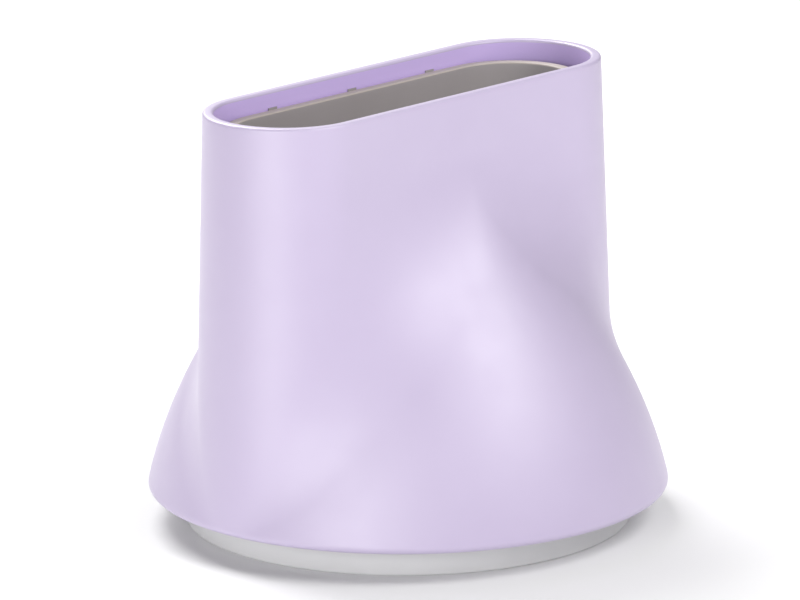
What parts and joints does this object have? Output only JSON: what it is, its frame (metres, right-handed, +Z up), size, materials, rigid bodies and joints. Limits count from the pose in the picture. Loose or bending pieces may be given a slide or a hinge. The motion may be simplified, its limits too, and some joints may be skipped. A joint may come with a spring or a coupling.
{
  "type": "hair dryer concentrator nozzle",
  "caption": "Flat slot-mouthed concentrator nozzle for a hair dryer: a lavender shell on a flared round bell, with an inner air duct, swivelling on a magnetic collar.",
  "frame": {"origin": "middle of the collar's lower face, which is also the bottom centre of the whole nozzle", "axes": "+Z up along the swivel axis, out through the mouth; X along the slot's long side; Y across the slot"},
  "size_m": [0.0722, 0.0718, 0.061],
  "materials": {
    "shell": "satin soft-touch lavender",
    "duct": "matt warm grey, heat resistant",
    "base": "matt dark grey",
    "collar": "satin light grey",
    "tray": "satin light grey",
    "washer": "waxy off-white",
    "seal": "matt black silicone",
    "spring": "spring steel",
    "screw": "zinc-plated steel",
    "iron": "plain steel",
    "magnet": "nickel-plated"
  },
  "bodies": {
    "collar": {"collar": "collar", "glide_washer": "washer", "back_iron": "iron", "magnet_tray": "tray", "magnet_1": "magnet", "magnet_2": "magnet", "magnet_3": "magnet", "magnet_4": "magnet", "magnet_5": "magnet", "magnet_6": "magnet", "magnet_7": "magnet", "magnet_8": "magnet"},
    "nozzle": {"outer_shell": "shell", "air_duct": "duct", "duct_lugs": "duct", "base_ring": "base", "duct_clamp": "base", "base_screws": "screw", "neck_o_ring": "seal", "retaining_clip": "spring"}
  },
  "joints": [
    {"name": "nozzle_swivel", "type": "hinge", "parent": "collar", "child": "nozzle", "pos_m": [0, 0, 0], "axis": [0, 0, 1], "continuous": true}
  ]
}
